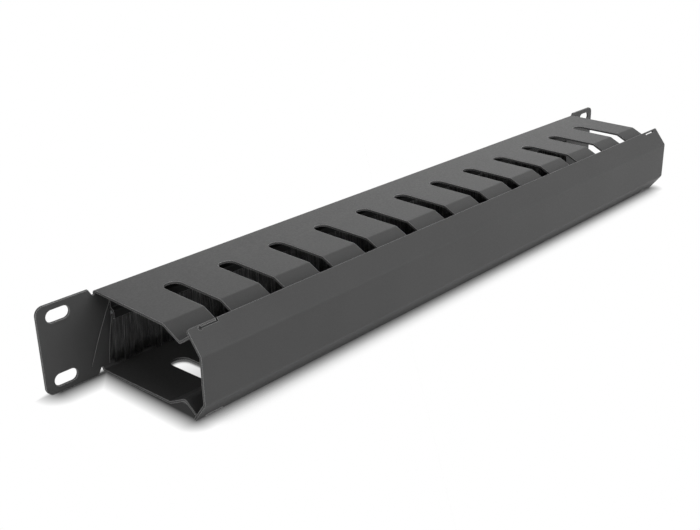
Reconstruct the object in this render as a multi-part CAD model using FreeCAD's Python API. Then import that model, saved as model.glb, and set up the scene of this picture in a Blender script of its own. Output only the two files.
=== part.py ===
import FreeCAD, Part
import math
import os

# Rack cable panel, one rack unit high: a folded channel with slotted sides, a clip-on front cover
# and a strip brush along its back plate.
# Millimetres. X runs along the panel, +Y into the rack, +Z up. The origin is the centre of the
# four rack slots on the rear face of the ears, which is the face that meets the rack's rails.

# Sheet
sheet = 1.2
bend_inner_radius = 1.0

# Ears and their slots for the rack's rails
panel_width = 482.6
panel_height = 44.0
ear_width = 30.5
ear_corner_radius = 4.2
rack_slot_end_margin = 4.7
rack_slot_spacing_z = 31.75
rack_slot_length = 12.2
rack_slot_width = 6.2
relief_mouth_width = 3.0
relief_root_width = 1.0
relief_past_bend = 0.3

# Channel, sizes over its outer faces. Each flange leans in a little towards the mouth, then drops
# along a slope to a valley, from which the lip rises to the inside of the cover.
channel_inset = 0.9
flange_depth = 51.6
flange_taper = 1.4
slope_depth = 10.6
slope_drop = 5.2
lip_below_edge = 2.4
lip_gap = 0.4

# Slots that part the two sides of the channel into fingers
slot_count = 12
slot_width = 9.6
slot_setback = 19.8
slot_end_margin = 27.65

# Front cover, sizes over its outer faces
cover_overhang = 0.4
cover_ahead = 14.4
cover_face_height = 23.2
cover_edge_setback = 8.1

# Slits that free a springy tongue in the cover's edges near each end. Each opens at the edge, turns
# along it and ends outwards in a round relief hole.
cover_corner_radius = 1.2
slit_end_margin = 6.3
slit_length = 10.0
slit_depth = 1.5
slit_width = 0.7
slit_mouth_width = 1.0
slit_relief_radius = 0.9

# Joggled strip that holds the brush against the back plate
holder_end_inset = 7.0
holder_below_bend = 0.5
holder_upper_leg = 9.2
holder_joggle = 1.0
holder_lower_leg = 3.3
holder_bend_radius = 0.4

# Strip brush: a crimped channel round a core wire, with the bristles hung from it
brush_inset = 0.4
crimp_width = 2.2
crimp_height = 3.8
crimp_wall = 0.5
crimp_top_gap = 0.1
core_wire_radius = 0.4
core_wire_gap = 0.1

# Window in the back plate, behind the bristles
window_end_inset = 7.8
window_below_crimp = 0.5
window_height = 19.2
window_corner_radius = 3.0

# Bristles, drawn as flat tufts side by side. Their tips wander in two slow waves, each with its
# own step in radians from one tuft to the next, and the strip's ends splay outwards.
tuft_pitch = 3.0
tuft_gap = 0.3
tuft_tip_thickness = 2.6
tuft_back_gap = 0.3
tuft_tip_above_bend = 0.3
tuft_tip_spread = 0.7
tuft_tip_step = 1.7
tuft_lean = 0.5
tuft_lean_step = 2.4
end_splay = 3.0
end_splay_power = 5

# Rivets through the back plate and the holder, domed in front and set flush in countersinks behind
rivet_count = 6
rivet_end_margin = 13.8
rivet_radius = 1.6
rivet_hole_clearance = 0.05
rivet_head_radius = 3.0
rivet_head_height = 1.1
rivet_tail_radius = 2.6
rivet_tail_depth = 0.8

# How far a cutting tool runs past what it cuts, and how near counts as touching
cut_over = 1.0
touching = 0.01

# Sizes that follow from the ones above
bend_outer_radius = bend_inner_radius + sheet
plate_front = -sheet
rack_slot_x = panel_width / 2 - rack_slot_end_margin - rack_slot_length / 2
channel_length = panel_width - 2 * ear_width
channel_half_height = panel_height / 2 - channel_inset
mouth_half_height = channel_half_height - flange_taper
bend_start_z = channel_half_height - bend_outer_radius
slot_pitch = (channel_length - 2 * slot_end_margin) / (slot_count - 1)
cover_length = channel_length + 2 * cover_overhang
cover_front = flange_depth + slope_depth + cover_ahead
slit_outer_x = cover_length / 2 - slit_end_margin
slit_inner_x = slit_outer_x - slit_length

# The holder hangs from just below the channel's top bend, and the brush sits between its lower
# leg and the back plate
holder_length = channel_length - 2 * holder_end_inset
holder_top = bend_start_z - holder_below_bend
joggle_top = holder_top - holder_upper_leg
joggle_bottom = joggle_top - holder_joggle
holder_bottom = joggle_bottom - holder_lower_leg
leg_back = plate_front - crimp_width
crimp_top = joggle_bottom - crimp_top_gap
crimp_bottom = crimp_top - crimp_height
brush_length = holder_length - 2 * brush_inset
brush_middle = plate_front - crimp_width / 2
core_wire_z = crimp_top - crimp_wall - core_wire_gap - core_wire_radius
rivet_z = (holder_top + joggle_top) / 2


def point(y, z, x=0.0):
    return FreeCAD.Vector(x, y, z)


def unit(vector):
    return vector * (1.0 / vector.Length)


def beside(direction):
    """Turns a direction in the YZ plane a quarter turn, to the side that the sheet's body is on."""
    return FreeCAD.Vector(0, direction.z, -direction.y)


def bend_at(before, corner, after, thickness, inner_radius):
    """Gives the start, middle and end of a bend's arc, on the drawn face and on the other one."""
    way_in = unit(corner - before)
    way_out = unit(after - corner)
    turn = way_in.getAngle(way_out)
    inward = beside(way_in).dot(way_out) > 0
    radius = inner_radius + thickness if inward else inner_radius
    reach = radius * math.tan(turn / 2)
    start = corner - way_in * reach
    end = corner + way_out * reach
    centre = start + beside(way_in) * (radius if inward else -radius)
    spoke = unit(corner - centre)
    other_radius = radius - thickness if inward else radius + thickness
    drawn = (start, centre + spoke * radius, end)
    other = (
        start + beside(way_in) * thickness,
        centre + spoke * other_radius,
        end + beside(way_out) * thickness,
    )
    return drawn, other


def folded_sheet(corners, length, thickness, inner_radius):
    """Bends a sheet round corners given on one of its faces, and runs it along X about the middle."""
    first_way = unit(corners[1] - corners[0])
    last_way = unit(corners[-1] - corners[-2])
    drawn_side = []
    other_side = []
    drawn_from = corners[0]
    other_from = corners[0] + beside(first_way) * thickness
    outline_start = other_from
    for before, corner, after in zip(corners, corners[1:], corners[2:]):
        drawn, other = bend_at(before, corner, after, thickness, inner_radius)
        drawn_side.append(Part.LineSegment(drawn_from, drawn[0]).toShape())
        drawn_side.append(Part.Arc(*drawn).toShape())
        other_side.append(Part.LineSegment(other_from, other[0]).toShape())
        other_side.append(Part.Arc(*other).toShape())
        drawn_from = drawn[2]
        other_from = other[2]
    outline_end = corners[-1] + beside(last_way) * thickness
    drawn_side.append(Part.LineSegment(drawn_from, corners[-1]).toShape())
    other_side.append(Part.LineSegment(other_from, outline_end).toShape())
    ends = [
        Part.LineSegment(corners[0], outline_start).toShape(),
        Part.LineSegment(corners[-1], outline_end).toShape(),
    ]
    wire = Part.Wire(Part.__sortEdges__(drawn_side + other_side + ends))
    body = Part.Face(wire).extrude(FreeCAD.Vector(length, 0, 0))
    body.translate(FreeCAD.Vector(-length / 2, 0, 0))
    return body


def run_along_x(corners, x_from, x_to):
    """A straight-sided bar along X with the given YZ corners."""
    wire = Part.makePolygon([point(c.y, c.z, x_from) for c in corners + corners[:1]])
    return Part.Face(wire).extrude(FreeCAD.Vector(x_to - x_from, 0, 0))


def obround(length, width, depth):
    """A slot-shaped bar along Y, its long way along X, centred on the origin."""
    half = (length - width) / 2
    radius = width / 2
    edges = [
        Part.LineSegment(point(0, radius, -half), point(0, radius, half)).toShape(),
        Part.Arc(point(0, radius, half), point(0, 0, half + radius), point(0, -radius, half)).toShape(),
        Part.LineSegment(point(0, -radius, half), point(0, -radius, -half)).toShape(),
        Part.Arc(point(0, -radius, -half), point(0, 0, -half - radius), point(0, radius, -half)).toShape(),
    ]
    body = Part.Face(Part.Wire(edges)).extrude(FreeCAD.Vector(0, depth, 0))
    body.translate(FreeCAD.Vector(0, -depth / 2, 0))
    return body


def mirrored_z(shape):
    return shape.mirror(FreeCAD.Vector(0, 0, 0), FreeCAD.Vector(0, 0, 1))


def mirrored_x(shape):
    return shape.mirror(FreeCAD.Vector(0, 0, 0), FreeCAD.Vector(1, 0, 0))


def at_four_corners(shape):
    upper = [shape, mirrored_x(shape)]
    return upper + [mirrored_z(part) for part in upper]


# Corners of the cover's outer face and of the channel's outer face, upper half
cover_edge = point(-cover_front + cover_edge_setback, panel_height / 2)
cover_shoulder = point(-cover_front, cover_face_height / 2)
channel_back = point(0, channel_half_height)
channel_mouth = point(-flange_depth, mouth_half_height)
channel_valley = channel_mouth + point(-slope_depth, -slope_drop)

# The lip rises from the valley and stops just short of the cover's inner face, below its edge
cover_slope_way = unit(cover_edge - cover_shoulder)
cover_inward = beside(cover_slope_way)
lip_tip = cover_edge - cover_slope_way * lip_below_edge + cover_inward * (sheet + lip_gap)


def ear():
    """The flat ear beside the channel's right end, joined to the back plate between two reliefs."""
    inner = channel_length / 2
    outer = panel_width / 2
    top = panel_height / 2
    plate = Part.makeBox(outer - inner, sheet, panel_height, point(-sheet, -top, inner))
    corner_edges = [e for e in plate.Edges if all(v.X > outer - touching for v in e.Vertexes)]
    corner_edges = [e for e in corner_edges if abs(e.Vertexes[0].Z - e.Vertexes[1].Z) < touching]
    plate = plate.makeFillet(ear_corner_radius, corner_edges)
    relief_floor = bend_start_z - relief_past_bend
    relief_outline = [
        point(-2 * sheet, top + cut_over, inner),
        point(-2 * sheet, relief_floor, inner),
        point(-2 * sheet, relief_floor, inner + relief_root_width),
        point(-2 * sheet, top, inner + relief_mouth_width),
        point(-2 * sheet, top + cut_over, inner + relief_mouth_width),
    ]
    relief = Part.Face(Part.makePolygon(relief_outline + relief_outline[:1]))
    relief = relief.extrude(FreeCAD.Vector(0, 3 * sheet, 0))
    slot = obround(rack_slot_length, rack_slot_width, 4 * sheet)
    slot.translate(FreeCAD.Vector(rack_slot_x, 0, rack_slot_spacing_z / 2))
    return plate.cut([relief, mirrored_z(relief), slot, mirrored_z(slot)])


def finger_slots():
    """Upright bars, one for each pair of slots. Each is round at the back and open at the front."""
    radius = slot_width / 2
    back = -slot_setback - radius
    front = -cover_front
    height = 2 * panel_height
    bars = []
    for index in range(slot_count):
        x = (index - (slot_count - 1) / 2) * slot_pitch
        edges = [
            Part.LineSegment(point(front, 0, x - radius), point(back, 0, x - radius)).toShape(),
            Part.Arc(
                point(back, 0, x - radius), point(back + radius, 0, x), point(back, 0, x + radius)
            ).toShape(),
            Part.LineSegment(point(back, 0, x + radius), point(front, 0, x + radius)).toShape(),
            Part.LineSegment(point(front, 0, x + radius), point(front, 0, x - radius)).toShape(),
        ]
        bar = Part.Face(Part.Wire(edges)).extrude(FreeCAD.Vector(0, 0, height))
        bar.translate(FreeCAD.Vector(0, 0, -height / 2))
        bars.append(bar)
    return bars


def rounded_window():
    """The long window in the back plate, with round corners."""
    length = holder_length - 2 * window_end_inset
    bottom = crimp_bottom - window_below_crimp - window_height
    box = Part.makeBox(length, 3 * sheet, window_height, point(-2 * sheet, bottom, -length / 2))
    edges_along_y = [e for e in box.Edges if abs(e.Vertexes[0].Y - e.Vertexes[1].Y) > sheet]
    return box.makeFillet(window_corner_radius, edges_along_y)


def rivet_places():
    first = -holder_length / 2 + rivet_end_margin
    pitch = (holder_length - 2 * rivet_end_margin) / (rivet_count - 1)
    return [first + index * pitch for index in range(rivet_count)]


def rivet_holes():
    """Bars for the rivets' holes, with the countersinks of the back plate's rear face."""
    radius = rivet_radius + rivet_hole_clearance
    mouth_radius = rivet_tail_radius + rivet_hole_clearance
    into_rack = FreeCAD.Vector(0, 1, 0)
    bars = []
    for x in rivet_places():
        bar = Part.makeCylinder(radius, 4 * sheet, point(-4 * sheet, rivet_z, x), into_rack)
        sink_start = point(-rivet_tail_depth - rivet_hole_clearance, rivet_z, x)
        sink = Part.makeCone(radius, mouth_radius, rivet_tail_depth, sink_start, into_rack)
        rim_start = point(-rivet_hole_clearance, rivet_z, x)
        rim = Part.makeCylinder(mouth_radius, cut_over, rim_start, into_rack)
        bars.append(bar.fuse([sink, rim]))
    return bars


def chassis():
    """Ears, back plate and both slotted sides, folded from one sheet."""
    upper = [lip_tip, channel_valley, channel_mouth, channel_back]
    lower = [point(c.y, -c.z) for c in reversed(upper)]
    channel = folded_sheet(upper + lower, channel_length, sheet, bend_inner_radius)
    right_ear = ear()
    body = channel.fuse([right_ear, mirrored_x(right_ear)]).removeSplitter()
    body = body.cut(finger_slots() + [rounded_window()] + rivet_holes())
    return body


def cut_through_cover(above, below, x_from, x_to):
    """A bar through the cover's upper slope, between two distances below its edge."""
    high = cover_edge - cover_slope_way * above - cover_inward * cut_over
    low = cover_edge - cover_slope_way * below - cover_inward * cut_over
    through = cover_inward * (sheet + 2 * cut_over)
    return run_along_x([high, high + through, low + through, low], x_from, x_to)


def tongue_slit():
    """The slit near the upper right end: a mouth at the edge, a run along it and a relief hole."""
    run_top = slit_depth - slit_width / 2
    run_bottom = slit_depth + slit_width / 2
    mouth_end = slit_inner_x + slit_mouth_width
    mouth = cut_through_cover(-cut_over, run_bottom, slit_inner_x, mouth_end)
    run = cut_through_cover(run_top, run_bottom, slit_inner_x, slit_outer_x)
    centre = cover_edge - cover_slope_way * slit_depth - cover_inward * cut_over
    centre.x = slit_outer_x
    relief = Part.makeCylinder(slit_relief_radius, sheet + 2 * cut_over, centre, cover_inward)
    return mouth.fuse([run, relief])


def front_cover():
    """The clip-on cover, folded from one sheet, with a springy tongue near each end of both edges."""
    upper = [cover_edge, cover_shoulder]
    lower = [point(c.y, -c.z) for c in reversed(upper)]
    body = folded_sheet(list(reversed(upper + lower)), cover_length, sheet, bend_inner_radius)
    edge_height = abs(cover_edge.z) - sheet
    corners = [e for e in body.Edges if all(abs(v.Z) > edge_height for v in e.Vertexes)]
    corners = [e for e in corners if abs(e.Length - sheet) < touching]
    body = body.makeFillet(cover_corner_radius, corners)
    return body.cut(at_four_corners(tongue_slit()))


def brush_holder():
    """Joggled strip: its upper leg is riveted to the back plate, its lower leg clamps the brush."""
    corners = [
        point(plate_front, holder_top),
        point(plate_front, joggle_top),
        point(leg_back, joggle_bottom),
        point(leg_back, holder_bottom),
    ]
    body = folded_sheet(corners, holder_length, sheet, holder_bend_radius)
    return body.cut(rivet_holes())


def brush_channel():
    """Crimped channel, closed at the top, that grips the bristles."""
    outside = Part.makeBox(
        brush_length, crimp_width, crimp_height, point(leg_back, crimp_bottom, -brush_length / 2)
    )
    top_edges = [e for e in outside.Edges if all(v.Z > crimp_top - touching for v in e.Vertexes)]
    top_edges = [e for e in top_edges if e.Length > crimp_width + touching]
    outside = outside.makeFillet(crimp_wall, top_edges)
    inside = Part.makeBox(
        brush_length + 2 * cut_over,
        crimp_width - 2 * crimp_wall,
        crimp_height,
        point(leg_back + crimp_wall, crimp_bottom - crimp_wall, -brush_length / 2 - cut_over),
    )
    return outside.cut(inside)


def brush_core_wire():
    start = point(brush_middle, core_wire_z, -brush_length / 2)
    return Part.makeCylinder(core_wire_radius, brush_length, start, FreeCAD.Vector(1, 0, 0))


def tip_border(index, count):
    """Where two tufts part at their tips, before the gap between them. Border 0 is the left end."""
    root = (index - count / 2) * tuft_pitch
    splay = end_splay * (2 * root / brush_length) ** end_splay_power
    return root + splay + tuft_lean * math.sin(tuft_lean_step * index)


def tuft(index, count):
    """One flat tuft. It leaves the crimp straight, then leans and spreads towards its tips."""
    root_left = (index - count / 2) * tuft_pitch + tuft_gap / 2
    root_right = root_left + tuft_pitch - tuft_gap
    tip_left = tip_border(index, count) + tuft_gap / 2
    tip_right = tip_border(index + 1, count) - tuft_gap / 2
    root_half = crimp_width / 2 - crimp_wall
    root_z = core_wire_z - core_wire_radius - core_wire_gap
    tip_z = -bend_start_z + tuft_tip_above_bend + tuft_tip_spread * math.sin(tuft_tip_step * index)
    tip_back = plate_front - tuft_back_gap

    def ring(left, right, front, back, z):
        corners = [
            point(front, z, left),
            point(back, z, left),
            point(back, z, right),
            point(front, z, right),
        ]
        return Part.makePolygon(corners + corners[:1])

    root_front = brush_middle - root_half
    root_back = brush_middle + root_half
    grip = ring(root_left, root_right, root_front, root_back, root_z)
    mouth = ring(root_left, root_right, root_front, root_back, crimp_bottom)
    tips = ring(tip_left, tip_right, tip_back - tuft_tip_thickness, tip_back, tip_z)
    return Part.makeLoft([grip, mouth], True, True).fuse(Part.makeLoft([mouth, tips], True, True))


def brush_bristles():
    count = int(brush_length // tuft_pitch)
    return Part.makeCompound([tuft(index, count) for index in range(count)])


def rivet(x):
    """A set rivet: domed head in front on the holder, tail flush with the plate's rear face."""
    head_back = plate_front - sheet
    dome_radius = (rivet_head_radius**2 + rivet_head_height**2) / (2 * rivet_head_height)
    dome_centre = head_back - rivet_head_height + dome_radius
    half_angle = math.asin(rivet_head_radius / dome_radius) / 2
    dome_top = point(head_back - rivet_head_height, 0)
    dome_middle = point(
        dome_centre - dome_radius * math.cos(half_angle), dome_radius * math.sin(half_angle)
    )
    outline = [
        point(head_back, rivet_head_radius),
        point(head_back, rivet_radius),
        point(-rivet_tail_depth, rivet_radius),
        point(0, rivet_tail_radius),
        point(0, 0),
        dome_top,
    ]
    edges = [Part.Arc(dome_top, dome_middle, outline[0]).toShape()]
    edges += [Part.LineSegment(a, b).toShape() for a, b in zip(outline, outline[1:])]
    face = Part.Face(Part.Wire(edges))
    body = face.revolve(FreeCAD.Vector(0, 0, 0), FreeCAD.Vector(0, 1, 0), 360)
    body.translate(FreeCAD.Vector(x, 0, rivet_z))
    return body


def brush_rivets():
    return Part.makeCompound([rivet(x) for x in rivet_places()])


nodes = {
    "chassis": chassis,
    "front_cover": front_cover,
    "brush_holder": brush_holder,
    "brush_channel": brush_channel,
    "brush_core_wire": brush_core_wire,
    "brush_bristles": brush_bristles,
    "brush_rivets": brush_rivets,
}

os.makedirs("parts", exist_ok=True)
for name, build in nodes.items():
    shape = build()
    shape.exportStep("parts/" + name + ".step")
    print(name, shape.isValid(), len(shape.Solids), round(shape.Volume, 1), shape.BoundBox)
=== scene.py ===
"""Looks of the rack brush strip panel: powder coat, zinc and nylon, fine bristles, studio and camera."""

import math

import bpy
import numpy as np
from mathutils import Matrix, Vector


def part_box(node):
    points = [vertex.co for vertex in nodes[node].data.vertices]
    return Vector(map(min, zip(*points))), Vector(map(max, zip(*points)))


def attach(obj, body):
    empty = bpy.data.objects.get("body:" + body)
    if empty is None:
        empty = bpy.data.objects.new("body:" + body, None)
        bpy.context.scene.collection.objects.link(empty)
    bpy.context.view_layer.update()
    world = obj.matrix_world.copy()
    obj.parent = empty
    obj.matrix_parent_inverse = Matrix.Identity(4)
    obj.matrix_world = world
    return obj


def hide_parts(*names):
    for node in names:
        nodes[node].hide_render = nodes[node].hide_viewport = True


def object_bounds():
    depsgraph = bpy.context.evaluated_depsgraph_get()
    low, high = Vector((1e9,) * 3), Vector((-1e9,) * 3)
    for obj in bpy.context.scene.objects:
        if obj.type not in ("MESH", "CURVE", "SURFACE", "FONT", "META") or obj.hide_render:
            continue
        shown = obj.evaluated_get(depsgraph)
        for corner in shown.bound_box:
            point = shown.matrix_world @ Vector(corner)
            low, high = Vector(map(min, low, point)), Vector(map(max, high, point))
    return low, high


MM = 0.001

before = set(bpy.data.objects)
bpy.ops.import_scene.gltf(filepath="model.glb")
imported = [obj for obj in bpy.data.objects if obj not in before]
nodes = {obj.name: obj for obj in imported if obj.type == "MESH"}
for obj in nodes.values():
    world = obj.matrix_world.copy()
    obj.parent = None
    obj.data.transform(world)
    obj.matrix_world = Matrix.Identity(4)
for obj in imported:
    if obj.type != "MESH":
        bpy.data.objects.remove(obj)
cad_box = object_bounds()

# Camera, in metres and degrees, from the photograph's perspective
CAMERA_PLACE = (-0.4372, -0.3683, 0.20095)
CAMERA_PAN = 47.4706
CAMERA_TILT = -22.2866
CAMERA_ROLL = -1.1153
SENSOR_WIDTH = 36.0
FOCAL_WIDTHS = 988.56 / 700
CLIP_START = 0.01
CLIP_END = 100

# Lamps aimed at the origin: place and size in metres, power in watts
LAMPS = {
    "back_right": ((1.2, 1.1, 0.75), (1.4, 1.0), 4.8),
    "right_high": ((1.2, 0.1, 1.2), (1.2, 1.0), 3.0),
    "front_right": ((1.1, -1.1, 0.8), (1.4, 1.0), 0.5),
    "front": ((0.15, -1.6, 0.8), (1.6, 1.0), 27.5),
    "left": ((-1.7, -0.1, 0.3), (1.0, 0.3), 10.0),
}
WORLD_STRENGTH = 0.06

# Floor
FLOOR_SIZE = 30
FLOOR_GREY = 0.86
FLOOR_ROUGHNESS = 0.9

# Contact shadow under bulky parts: its reach, and the openness at which it is dark and gone
SHADOW_REACH = 22 * MM
SHADOW_SAMPLES = 24
SHADOW_OPENNESS = (0.18, 0.64)
SHADOW_GREY = 0.10

# Contact shadow beside what stands on the floor: the channel, and the ears' straight edges. It
# fades faster behind the panel, and darkens under the channel towards the front.
FOOT_SHADOW_GREY = 0.035
CHANNEL_SHADOW_REACH = 11 * MM
CHANNEL_FOOT_MARGIN = 1.9 * MM
CHANNEL_DARK_MARGIN = 5 * MM
EAR_SHADOW_REACH = 13 * MM
EAR_THICKNESS = 1.2 * MM
EAR_FOOT_MARGIN = 7 * MM
BEHIND_REACH = 5 * MM
UNDER_START = -18 * MM
UNDER_REACH = 60 * MM

# Cut edges with a painted highlight: their radius, and the cosine of the normal's turn where the painted
# highlight starts and is full
EDGE_RADIUS = 0.6 * MM
EDGE_TURN = (0.985, 0.88)

# Noise in the materials: its roughness, and the span that most of its values fill
NOISE_ROUGHNESS = 0.55
NOISE_SPAN = (0.3, 0.7)

# Powder coat: the span and share of its specks, and the grey of the highlight painted on its cut edges
SPECK_SPAN = (0.35, 0.7)
SPECK_SHARE = 0.35
EDGE_HIGHLIGHT_GREY = 0.32

# Zinc: the span and share of its crystals
CRYSTAL_SPAN = (0.35, 0.65)
CRYSTAL_SHARE = 0.5

# Nylon: the part of the filaments given a painted glint, and the span and share of the painted glint
# streaks along them
GLINT_FILAMENT_SPAN = (0.7, 1.0)
STREAK_SPAN = (0.35, 0.68)
STREAK_SHARE = 0.25

# Filaments of the brush. The straight rows stand at the back and close the window, and the loose
# rows in front of them gather in clumps.
FILAMENT_ROWS = 5
STRAIGHT_ROWS = 2
FILAMENT_PITCH = 0.36 * MM
FILAMENT_RADIUS = 0.15 * MM
FILAMENT_RADIUS_RANGE = (0.8, 1.1)
STRAIGHT_RADIUS = 0.27 * MM
FILAMENT_SIDES = 3
FILAMENT_SEGMENTS = 4
TIP_TAPER = 0.85
CRIMP_WALL = 0.62 * MM
SEED = 11

# Clumps, and how much a loose filament is drawn to its clump
CLUMP_PITCH = 2.4 * MM
CLUMP_PITCH_RANGE = (0.45, 1.7)
CLUMP_PULL = 0.5
CLUMP_PULL_RANGE = (0.5, 1.0)
CLUMP_LEAN = 0.7 * MM
CLUMP_DEPTH_RANGE = (0.1, 0.6)
CLUMP_DEPTH_SHARE = 0.6
DEPTH_LIMITS = (0.02, 0.98)

# Unevenness of roots, tips and bends, and the splay at the brush's two ends
ROOT_WANDER = 0.15
TIP_WANDER_X = 0.05 * MM
LOOSE_WANDER_FACTOR = 12
TIP_WANDER_Z = 0.35 * MM
CLUMP_WANDER_Z = 0.8 * MM
TIP_SPREAD = 1.6 * MM
END_SPLAY = 3.0 * MM
END_SPLAY_POWER = 5
BEND_POWER = 1.6
BOW = 0.3 * MM

# Stray bristles at the brush's left end, in millimetres, each from its root to its tip
STRAYS = (
    ((-203.9, -2.2, 13.5), (-217.5, -2.4, -15.6)),
    ((-203.9, -2.5, 5.5), (-208.3, -3.2, -17.0)),
)
STRAY_RADIUS = 0.13 * MM
STRAY_BOW = 0.5 * MM


def rgba(shade):
    """Full colour of a grey or of three values."""
    if isinstance(shade, tuple):
        return (*shade, 1)
    return (shade, shade, shade, 1)


def feed(tree, value, socket):
    """Sets an input to a value, or links it to another node's result."""
    if isinstance(value, bpy.types.NodeSocket):
        tree.links.new(value, socket)
    elif socket.type == "RGBA":
        socket.default_value = rgba(value)
    else:
        socket.default_value = value


def new_material(name):
    material = bpy.data.materials.new(name)
    material.use_nodes = True
    tree = material.node_tree
    return material, tree, tree.nodes["Principled BSDF"]


def add(tree, kind, **values):
    """Adds a node, and sets its own properties and its inputs by name."""
    node = tree.nodes.new(kind)
    for key, value in values.items():
        if hasattr(node, key):
            setattr(node, key, value)
        else:
            feed(tree, value, node.inputs[key.replace("_", " ")])
    return node


def ramp(tree, factor, span, dark, light):
    """Maps a span of a factor's values to what lies between two greys or colours."""
    node = add(tree, "ShaderNodeValToRGB", Fac=factor)
    elements = node.color_ramp.elements
    elements[0].position, elements[1].position = span
    elements[0].color = rgba(dark)
    elements[1].color = rgba(light)
    return node.outputs["Color"]


def mix(tree, factor, first, second, blend="MIX"):
    node = add(tree, "ShaderNodeMix", data_type="RGBA", blend_type=blend)
    feed(tree, factor, node.inputs["Factor"])
    feed(tree, first, node.inputs["A"])
    feed(tree, second, node.inputs["B"])
    return node.outputs["Result"]


def maths(tree, operation, first, second=0.0):
    """One scalar step, of values or of other nodes' results."""
    node = add(tree, "ShaderNodeMath", operation=operation)
    feed(tree, first, node.inputs[0])
    feed(tree, second, node.inputs[1])
    return node.outputs["Value"]


def bump(tree, height, distance, strength, normal=None):
    node = add(tree, "ShaderNodeBump", Distance=distance, Strength=strength, Height=height)
    if normal is not None:
        tree.links.new(normal, node.inputs["Normal"])
    return node.outputs["Normal"]


def object_noise(tree, scale, detail, stretch=(1.0, 1.0, 1.0)):
    coordinates = tree.nodes.new("ShaderNodeTexCoord").outputs["Object"]
    place = add(tree, "ShaderNodeMapping", Scale=stretch, Vector=coordinates).outputs["Vector"]
    noise = add(tree, "ShaderNodeTexNoise", Scale=scale, Detail=detail, Roughness=NOISE_ROUGHNESS)
    tree.links.new(place, noise.inputs["Vector"])
    return noise.outputs["Fac"]


def edge_mask(tree):
    """Is 1 along sharp edges and 0 on flat faces. Gives the rounded normal as well."""
    rounded = add(tree, "ShaderNodeBevel", Radius=EDGE_RADIUS).outputs["Normal"]
    turn = add(tree, "ShaderNodeVectorMath", operation="DOT_PRODUCT")
    tree.links.new(rounded, turn.inputs[0])
    tree.links.new(tree.nodes.new("ShaderNodeNewGeometry").outputs["Normal"], turn.inputs[1])
    flat, sharp = EDGE_TURN
    mask = add(tree, "ShaderNodeMapRange", From_Min=flat, From_Max=sharp, Value=turn.outputs["Value"])
    return mask.outputs["Result"], rounded


def powder_coat(name, depth):
    """Fine matt coat: orange peel, specks, faint clouding, and a painted highlight on cut edges."""
    material, tree, shader = new_material(name)
    clouds = object_noise(tree, scale=18, detail=2.0)
    grain = object_noise(tree, scale=2600, detail=2.0)
    waves = object_noise(tree, scale=1300, detail=2.0)
    # Depth scales the coat's greys; a depth below 1 makes a darker copy of the coat, which is painted
    # shade.
    base = ramp(tree, clouds, NOISE_SPAN, dark=0.050 * depth, light=0.059 * depth)
    specks = ramp(tree, grain, SPECK_SPAN, dark=0.043 * depth, light=0.070 * depth)
    edges, rounded = edge_mask(tree)
    # Painted highlight: the edge mask lightens cut edges towards a light grey.
    edge_lit_colour = mix(tree, edges, mix(tree, SPECK_SHARE, base, specks), EDGE_HIGHLIGHT_GREY)
    tree.links.new(edge_lit_colour, shader.inputs["Base Color"])
    patches = object_noise(tree, scale=900, detail=3.0)
    rough = ramp(tree, patches, NOISE_SPAN, dark=0.46, light=0.58)
    tree.links.new(rough, shader.inputs["Roughness"])
    shader.inputs["Specular IOR Level"].default_value = 0.2
    peel = bump(tree, waves, distance=0.05 * MM, strength=0.35, normal=rounded)
    relief = bump(tree, grain, distance=0.02 * MM, strength=0.4, normal=peel)
    tree.links.new(relief, shader.inputs["Normal"])
    return material


def zinc_strip():
    """Dull zinc with fine lines along the strip."""
    material, tree, shader = new_material("zinc_strip")
    lines = object_noise(tree, scale=900, detail=4.0, stretch=(0.02, 1.0, 1.0))
    spangle = object_noise(tree, scale=350, detail=2.0)
    drawn = ramp(tree, lines, NOISE_SPAN, dark=(0.40, 0.41, 0.42), light=(0.58, 0.59, 0.60))
    crystals = ramp(tree, spangle, CRYSTAL_SPAN, dark=(0.42, 0.43, 0.44), light=(0.56, 0.57, 0.58))
    tree.links.new(mix(tree, CRYSTAL_SHARE, drawn, crystals), shader.inputs["Base Color"])
    rough = ramp(tree, spangle, NOISE_SPAN, dark=0.38, light=0.52)
    tree.links.new(rough, shader.inputs["Roughness"])
    shader.inputs["Metallic"].default_value = 1.0
    relief = bump(tree, lines, distance=0.02 * MM, strength=0.4)
    tree.links.new(relief, shader.inputs["Normal"])
    return material


def rivet_aluminium():
    """Satin aluminium with the set tool's faint marks."""
    material, tree, shader = new_material("rivet_aluminium")
    marks = object_noise(tree, scale=1800, detail=3.0)
    shade = ramp(tree, marks, NOISE_SPAN, dark=(0.52, 0.53, 0.54), light=(0.66, 0.67, 0.68))
    tree.links.new(shade, shader.inputs["Base Color"])
    rough = ramp(tree, marks, NOISE_SPAN, dark=0.30, light=0.45)
    tree.links.new(rough, shader.inputs["Roughness"])
    shader.inputs["Metallic"].default_value = 1.0
    relief = bump(tree, marks, distance=0.02 * MM, strength=0.5)
    tree.links.new(relief, shader.inputs["Normal"])
    return material


def bristle_nylon(name, dark, light):
    """Nylon: most filaments are dark, some carry a painted glint, and each has soft painted glint
    streaks along it.
    """
    material, tree, shader = new_material(name)
    chance = tree.nodes.new("ShaderNodeNewGeometry").outputs["Random Per Island"]
    streaks = object_noise(tree, scale=700, detail=3.0, stretch=(1.0, 1.0, 0.03))
    # Painted glint: some filaments, and streaks along each one, lighten towards the light grey.
    filament_glint = ramp(tree, chance, GLINT_FILAMENT_SPAN, dark, light)
    along = ramp(tree, streaks, STREAK_SPAN, dark, light)
    tree.links.new(mix(tree, STREAK_SHARE, filament_glint, along), shader.inputs["Base Color"])
    rough = ramp(tree, streaks, NOISE_SPAN, dark=0.48, light=0.32)
    tree.links.new(rough, shader.inputs["Roughness"])
    return material


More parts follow.
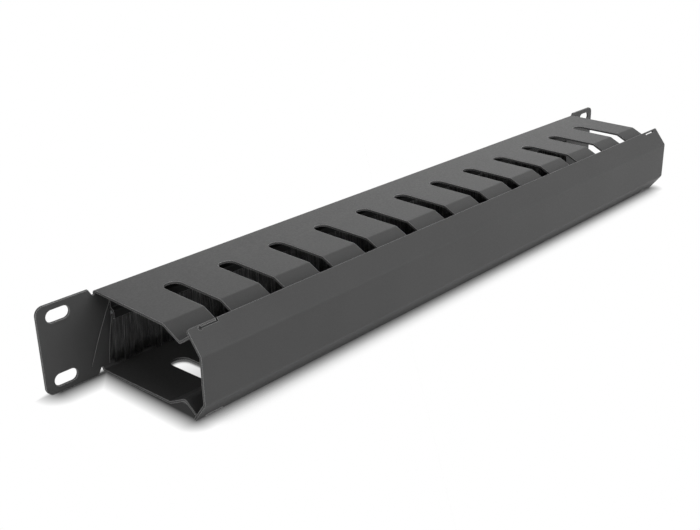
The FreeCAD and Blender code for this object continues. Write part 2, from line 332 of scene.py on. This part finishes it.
def dress(node, material):
    """Gives a carried-over sub-part its finished material."""
    mesh = nodes[node].data
    if not mesh.materials:
        mesh.materials.append(material)
    for slot in nodes[node].material_slots:
        slot.link = "OBJECT"
        slot.material = material


def clump_centres(rng, start, end):
    """Uneven places along the brush that the filaments' tips lean towards."""
    centres = [start]
    while centres[-1] < end:
        centres.append(centres[-1] + CLUMP_PITCH * rng.uniform(*CLUMP_PITCH_RANGE))
    return np.array(centres)


def filament_paths(rng, box_low, box_high, root_low, root_high):
    """Gives each filament's line as an array of filaments by points by three."""
    length = box_high[0] - box_low[0] - 2 * TIP_SPREAD
    middle = (box_low[0] + box_high[0]) / 2
    count = int(length / FILAMENT_PITCH)
    size = FILAMENT_ROWS * count
    index = np.tile(np.arange(count), FILAMENT_ROWS)
    row = np.repeat(np.arange(FILAMENT_ROWS), count)
    row_depth = (row + 0.5) / FILAMENT_ROWS
    loose = (row >= STRAIGHT_ROWS).astype(float)

    root_x = middle + (index - (count - 1) / 2 + row / FILAMENT_ROWS) * FILAMENT_PITCH
    root_x = root_x + rng.normal(0, ROOT_WANDER * FILAMENT_PITCH, size)
    root_y = root_high - row_depth * (root_high - root_low)

    centres = clump_centres(rng, root_x.min(), root_x.max())
    nearest = np.abs(root_x[:, None] - centres[None, :]).argmin(axis=1)
    clump_lean = rng.normal(0, CLUMP_LEAN, centres.size)[nearest]
    clump_tip = rng.normal(0, CLUMP_WANDER_Z, centres.size)[nearest]
    clump_depth = rng.uniform(*CLUMP_DEPTH_RANGE, centres.size)[nearest]

    pull = CLUMP_PULL * rng.uniform(*CLUMP_PULL_RANGE, size) * loose
    wander = rng.normal(0, TIP_WANDER_X, size) * (1 + (LOOSE_WANDER_FACTOR - 1) * loose)
    splay = END_SPLAY * (2 * (root_x - middle) / length) ** END_SPLAY_POWER
    tip_x = root_x + pull * (centres[nearest] - root_x) + clump_lean * loose
    tip_x = tip_x + wander + splay

    own_depth = rng.uniform(0, 1, size)
    free_depth = CLUMP_DEPTH_SHARE * clump_depth + (1 - CLUMP_DEPTH_SHARE) * own_depth
    depth = np.clip(np.where(loose > 0, free_depth, 1 - row_depth), *DEPTH_LIMITS)
    tip_y = box_low[1] + FILAMENT_RADIUS + depth * (box_high[1] - box_low[1] - 2 * FILAMENT_RADIUS)

    tip_z = box_low[2] + TIP_SPREAD + clump_tip + rng.normal(0, TIP_WANDER_Z, size)
    tip_z = np.maximum(tip_z, box_low[2])

    along = np.linspace(0, 1, FILAMENT_SEGMENTS + 1)
    bend = along**BEND_POWER
    bow = (rng.normal(0, BOW, size) * loose)[:, None] * np.sin(np.pi * along)[None, :]
    paths = np.empty((size, along.size, 3))
    paths[:, :, 0] = root_x[:, None] + (tip_x - root_x)[:, None] * bend + bow
    paths[:, :, 1] = root_y[:, None] + (tip_y - root_y)[:, None] * bend
    paths[:, :, 2] = box_high[2] + (tip_z - box_high[2])[:, None] * along
    return paths


def tubes(name, paths, radii):
    """Makes thin closed tubes along the given lines, as one mesh."""
    filaments, points, _ = paths.shape
    turns = 2 * math.pi * np.arange(FILAMENT_SIDES) / FILAMENT_SIDES
    taper = np.linspace(1.0, TIP_TAPER, points)
    across = np.stack([np.cos(turns), np.sin(turns), np.zeros_like(turns)], axis=1)
    rings = radii[:, None, None, None] * taper[None, :, None, None] * across[None, None, :, :]
    vertices = (paths[:, :, None, :] + rings).reshape(-1, 3)

    first = np.arange(filaments)[:, None, None] * points * FILAMENT_SIDES
    level = np.arange(points - 1)[None, :, None] * FILAMENT_SIDES
    side = np.arange(FILAMENT_SIDES)[None, None, :]
    near = first + level + side
    near_next = first + level + (side + 1) % FILAMENT_SIDES
    corners = [near_next, near, near + FILAMENT_SIDES, near_next + FILAMENT_SIDES]
    quads = np.stack(corners, axis=-1).reshape(-1, 4)
    start_caps = (first + side)[:, 0, :]
    end_caps = (first + (points - 1) * FILAMENT_SIDES + side)[:, 0, ::-1]
    faces = quads.tolist() + start_caps.tolist() + end_caps.tolist()

    mesh = bpy.data.meshes.new(name)
    mesh.from_pydata(vertices.tolist(), [], faces)
    mesh.polygons.foreach_set("use_smooth", [True] * len(faces))
    mesh.update()
    piece = bpy.data.objects.new(name, mesh)
    bpy.context.scene.collection.objects.link(piece)
    return piece


def brush():
    """Fine filaments in place of the plain tufts."""
    rng = np.random.default_rng(SEED)
    low, high = [Vector(corner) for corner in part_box("brush_bristles")]
    crimp_low, crimp_high = [Vector(corner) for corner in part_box("brush_channel")]
    paths = filament_paths(rng, low, high, crimp_low.y + CRIMP_WALL, crimp_high.y - CRIMP_WALL)
    count = paths.shape[0]
    radii = FILAMENT_RADIUS * rng.uniform(*FILAMENT_RADIUS_RANGE, count)
    radii[: STRAIGHT_ROWS * count // FILAMENT_ROWS] = STRAIGHT_RADIUS
    piece = tubes("bristle_filaments", paths, radii)
    piece.data.materials.append(bristle_nylon("bristle_nylon", dark=0.014, light=0.28))
    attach(piece, "panel")
    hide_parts("brush_bristles")


def strays():
    """Bristles that have sprung out at the left end, lighter than the rest, as a painted highlight."""
    along = np.linspace(0, 1, 2 * FILAMENT_SEGMENTS + 1)
    roots = np.array([root for root, _ in STRAYS]) * MM
    tips = np.array([tip for _, tip in STRAYS]) * MM
    paths = roots[:, None, :] + (tips - roots)[:, None, :] * along[None, :, None]
    paths[:, :, 0] -= STRAY_BOW * np.sin(np.pi * along)[None, :]
    piece = tubes("bristle_strays", paths, np.full(len(STRAYS), STRAY_RADIUS))
    # The strays' greys are a painted highlight on dark nylon.
    piece.data.materials.append(bristle_nylon("stray_nylon", dark=0.22, light=0.42))
    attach(piece, "panel")


def seen_or_lit(tree, lit, seen):
    """Shows one shader to the camera, in metal and through glass, and lights the rest with another."""
    path = tree.nodes.new("ShaderNodeLightPath")
    mirrored = maths(tree, "ADD", path.outputs["Is Glossy Ray"], path.outputs["Is Transmission Ray"])
    shown = maths(tree, "MINIMUM", maths(tree, "ADD", path.outputs["Is Camera Ray"], mirrored), 1.0)
    choice = add(tree, "ShaderNodeMixShader", Fac=shown)
    tree.links.new(lit, choice.inputs[1])
    tree.links.new(seen, choice.inputs[2])
    return choice.outputs["Shader"]


def past_side(tree, place, low, high):
    """Distance past the nearer of two bounds, less than 0 between them."""
    from_middle = maths(tree, "ABSOLUTE", maths(tree, "SUBTRACT", place, (low + high) / 2))
    return maths(tree, "SUBTRACT", from_middle, (high - low) / 2)


def outline_distance(tree, x, y, low, high):
    """Distance from a rectangle's outline on the floor, less than 0 inside it."""
    past_x = past_side(tree, x, low[0], high[0])
    past_y = past_side(tree, y, low[1], high[1])
    out_x = maths(tree, "MAXIMUM", past_x)
    out_y = maths(tree, "MAXIMUM", past_y)
    square_x = maths(tree, "MULTIPLY", out_x, out_x)
    square_y = maths(tree, "MULTIPLY", out_y, out_y)
    outside = maths(tree, "SQRT", maths(tree, "ADD", square_x, square_y))
    inside = maths(tree, "MINIMUM", maths(tree, "MAXIMUM", past_x, past_y))
    return maths(tree, "ADD", outside, inside)


def foot_shadow(tree):
    """Grey of the contact shadow beside the channel and the ears, white away from them."""
    place = tree.nodes.new("ShaderNodeSeparateXYZ")
    tree.links.new(tree.nodes.new("ShaderNodeNewGeometry").outputs["Position"], place.inputs["Vector"])
    x, y = place.outputs["X"], place.outputs["Y"]
    panel_low, panel_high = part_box("chassis")
    cover_low, cover_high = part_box("front_cover")

    channel_low = (cover_low[0] + CHANNEL_FOOT_MARGIN, cover_high[1])
    channel_high = (cover_high[0] - CHANNEL_FOOT_MARGIN, panel_high[1])
    channel = outline_distance(tree, x, y, channel_low, channel_high)
    inwards = maths(tree, "SUBTRACT", -CHANNEL_DARK_MARGIN, channel)
    from_channel = maths(tree, "DIVIDE", maths(tree, "MAXIMUM", channel, inwards), CHANNEL_SHADOW_REACH)

    ears_low = (panel_low[0] + EAR_FOOT_MARGIN, -EAR_THICKNESS)
    ears_high = (panel_high[0] - EAR_FOOT_MARGIN, panel_high[1])
    ears = outline_distance(tree, x, y, ears_low, ears_high)
    from_ears = maths(tree, "DIVIDE", maths(tree, "ABSOLUTE", ears), EAR_SHADOW_REACH)

    behind = maths(tree, "DIVIDE", maths(tree, "MAXIMUM", y), BEHIND_REACH)
    from_foot = maths(tree, "ADD", maths(tree, "MINIMUM", from_channel, from_ears), behind)
    forwards = maths(tree, "DIVIDE", maths(tree, "SUBTRACT", UNDER_START, y), UNDER_REACH)
    under = maths(tree, "MULTIPLY", maths(tree, "LESS_THAN", channel), forwards)
    nearness = maths(tree, "MINIMUM", from_foot, maths(tree, "SUBTRACT", 1.0, under))
    return ramp(tree, nearness, (0.0, 1.0), dark=FOOT_SHADOW_GREY, light=1.0)


def white_floor():
    """A floor that shows white to the camera and keeps the object's soft shadow."""
    bpy.ops.mesh.primitive_plane_add(size=FLOOR_SIZE, location=(0, 0, cad_box[0][2]))
    floor = bpy.context.object
    floor.name = "floor"
    material, tree, shader = new_material("floor_paper")
    shader.inputs["Base Color"].default_value = rgba(FLOOR_GREY)
    shader.inputs["Roughness"].default_value = FLOOR_ROUGHNESS
    shader.inputs["Specular IOR Level"].default_value = 0.0
    near = add(tree, "ShaderNodeAmbientOcclusion", Distance=SHADOW_REACH, samples=SHADOW_SAMPLES)
    bulk_shadow = ramp(tree, near.outputs["AO"], SHADOW_OPENNESS, dark=SHADOW_GREY, light=1.0)
    shade = mix(tree, 1.0, bulk_shadow, foot_shadow(tree), blend="DARKEN")
    paper = add(tree, "ShaderNodeEmission", Color=shade).outputs["Emission"]
    surface = seen_or_lit(tree, shader.outputs["BSDF"], paper)
    tree.links.new(surface, tree.nodes["Material Output"].inputs["Surface"])
    floor.data.materials.append(material)


def white_world():
    """An even pale studio round the object, pure white where it is seen."""
    world = bpy.data.worlds.new("studio")
    bpy.context.scene.world = world
    world.use_nodes = True
    tree = world.node_tree
    light = tree.nodes["Background"]
    light.inputs["Color"].default_value = rgba(1.0)
    light.inputs["Strength"].default_value = WORLD_STRENGTH
    white = add(tree, "ShaderNodeBackground", Color=1.0, Strength=1.0).outputs["Background"]
    surface = seen_or_lit(tree, light.outputs["Background"], white)
    tree.links.new(surface, tree.nodes["World Output"].inputs["Surface"])


def area_light(name, place, size, power):
    data = bpy.data.lights.new(name, "AREA")
    data.shape = "RECTANGLE"
    data.size, data.size_y = size
    data.energy = power
    lamp = bpy.data.objects.new(name, data)
    lamp.location = place
    lamp.rotation_euler = (-Vector(place)).to_track_quat("-Z", "Y").to_euler()
    bpy.context.scene.collection.objects.link(lamp)


def camera():
    data = bpy.data.cameras.new("camera")
    data.sensor_width = SENSOR_WIDTH
    data.lens = SENSOR_WIDTH * FOCAL_WIDTHS
    data.clip_start = CLIP_START
    data.clip_end = CLIP_END
    eye = bpy.data.objects.new("camera", data)
    turn = Matrix.Rotation(math.radians(-CAMERA_PAN), 4, "Z")
    turn = turn @ Matrix.Rotation(math.radians(90 + CAMERA_TILT), 4, "X")
    turn = turn @ Matrix.Rotation(math.radians(CAMERA_ROLL), 4, "Z")
    eye.matrix_world = Matrix.Translation(CAMERA_PLACE) @ turn
    bpy.context.scene.collection.objects.link(eye)
    bpy.context.scene.camera = eye


coat = powder_coat("powder_coat", depth=1.0)
zinc = zinc_strip()
for name in ("chassis", "front_cover"):
    dress(name, coat)
# The holder gets the same coat at 0.3 of its greys: painted shade for its front face, which lies in
# shadow.
dress("brush_holder", powder_coat("holder_coat_painted_shade", depth=0.3))
for name in ("brush_channel", "brush_core_wire"):
    dress(name, zinc)
dress("brush_rivets", rivet_aluminium())
brush()
strays()
white_floor()
white_world()
for name, (place, size, power) in LAMPS.items():
    area_light(name, place, size, power)
camera()
bpy.context.scene.view_settings.view_transform = "Standard"
